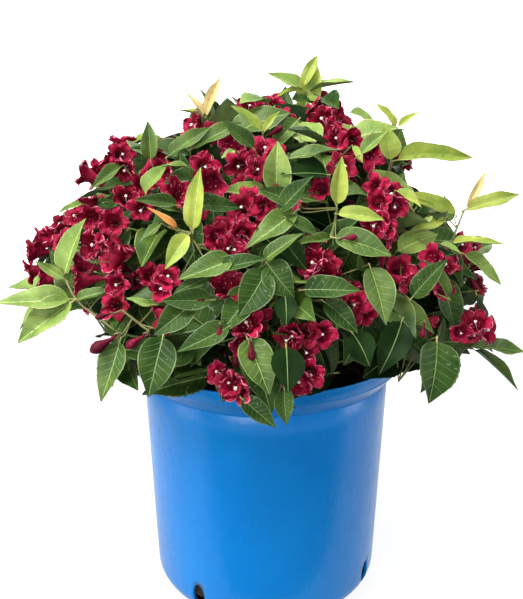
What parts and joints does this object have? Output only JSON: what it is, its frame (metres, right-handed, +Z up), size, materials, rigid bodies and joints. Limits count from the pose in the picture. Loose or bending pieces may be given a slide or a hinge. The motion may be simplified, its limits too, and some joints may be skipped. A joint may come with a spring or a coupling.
{
  "type": "potted weigela",
  "caption": "Flowering weigela shrub, a dense mound of leafy shoots with deep red trumpet blossom, in a round blue nursery pot filled with potting mix.",
  "frame": {"origin": "centre of the flat underside of the pot, which stands on the floor", "axes": "+Z up along the pot's axis, -Y towards the viewer of the picture, +X to the viewer's right"},
  "size_m": [0.4203, 0.3897, 0.4421],
  "materials": {
    "pot_blue": "semi-gloss moulded",
    "potting_mix": "rough, moist",
    "bark": "matte bark",
    "foliage": "satin leaves"
  },
  "bodies": {
    "root": {"bough_crown_top": "bark", "bough_front": "bark", "bough_left": "bark", "bough_low_back": "bark", "bough_low_back_left": "bark", "bough_low_back_right": "bark", "bough_low_front": "bark", "bough_low_front_left": "bark", "bough_low_front_right": "bark", "bough_low_right": "bark", "bough_right": "bark", "bough_top_back": "bark", "bough_top_front": "bark", "bough_top_left": "bark", "bough_upper_back": "bark", "bough_upper_back_left": "bark", "bough_upper_back_right": "bark", "bough_upper_front_left": "bark", "bough_upper_front_right": "bark", "bough_upper_left": "bark", "bough_upper_right": "bark", "foliage_crown_top": "foliage", "foliage_front": "foliage", "foliage_left": "foliage", "foliage_low_back": "foliage", "foliage_low_back_left": "foliage", "foliage_low_back_right": "foliage", "foliage_low_front": "foliage", "foliage_low_front_left": "foliage", "foliage_low_front_right": "foliage", "foliage_low_right": "foliage", "foliage_right": "foliage", "foliage_top_back": "foliage", "foliage_top_front": "foliage", "foliage_top_left": "foliage", "foliage_upper_back": "foliage", "foliage_upper_back_left": "foliage", "foliage_upper_back_right": "foliage", "foliage_upper_front_left": "foliage", "foliage_upper_front_right": "foliage", "foliage_upper_left": "foliage", "foliage_upper_right": "foliage", "pot": "pot_blue", "potting_mix": "potting_mix", "stem_base": "bark"}
  },
  "joints": []
}
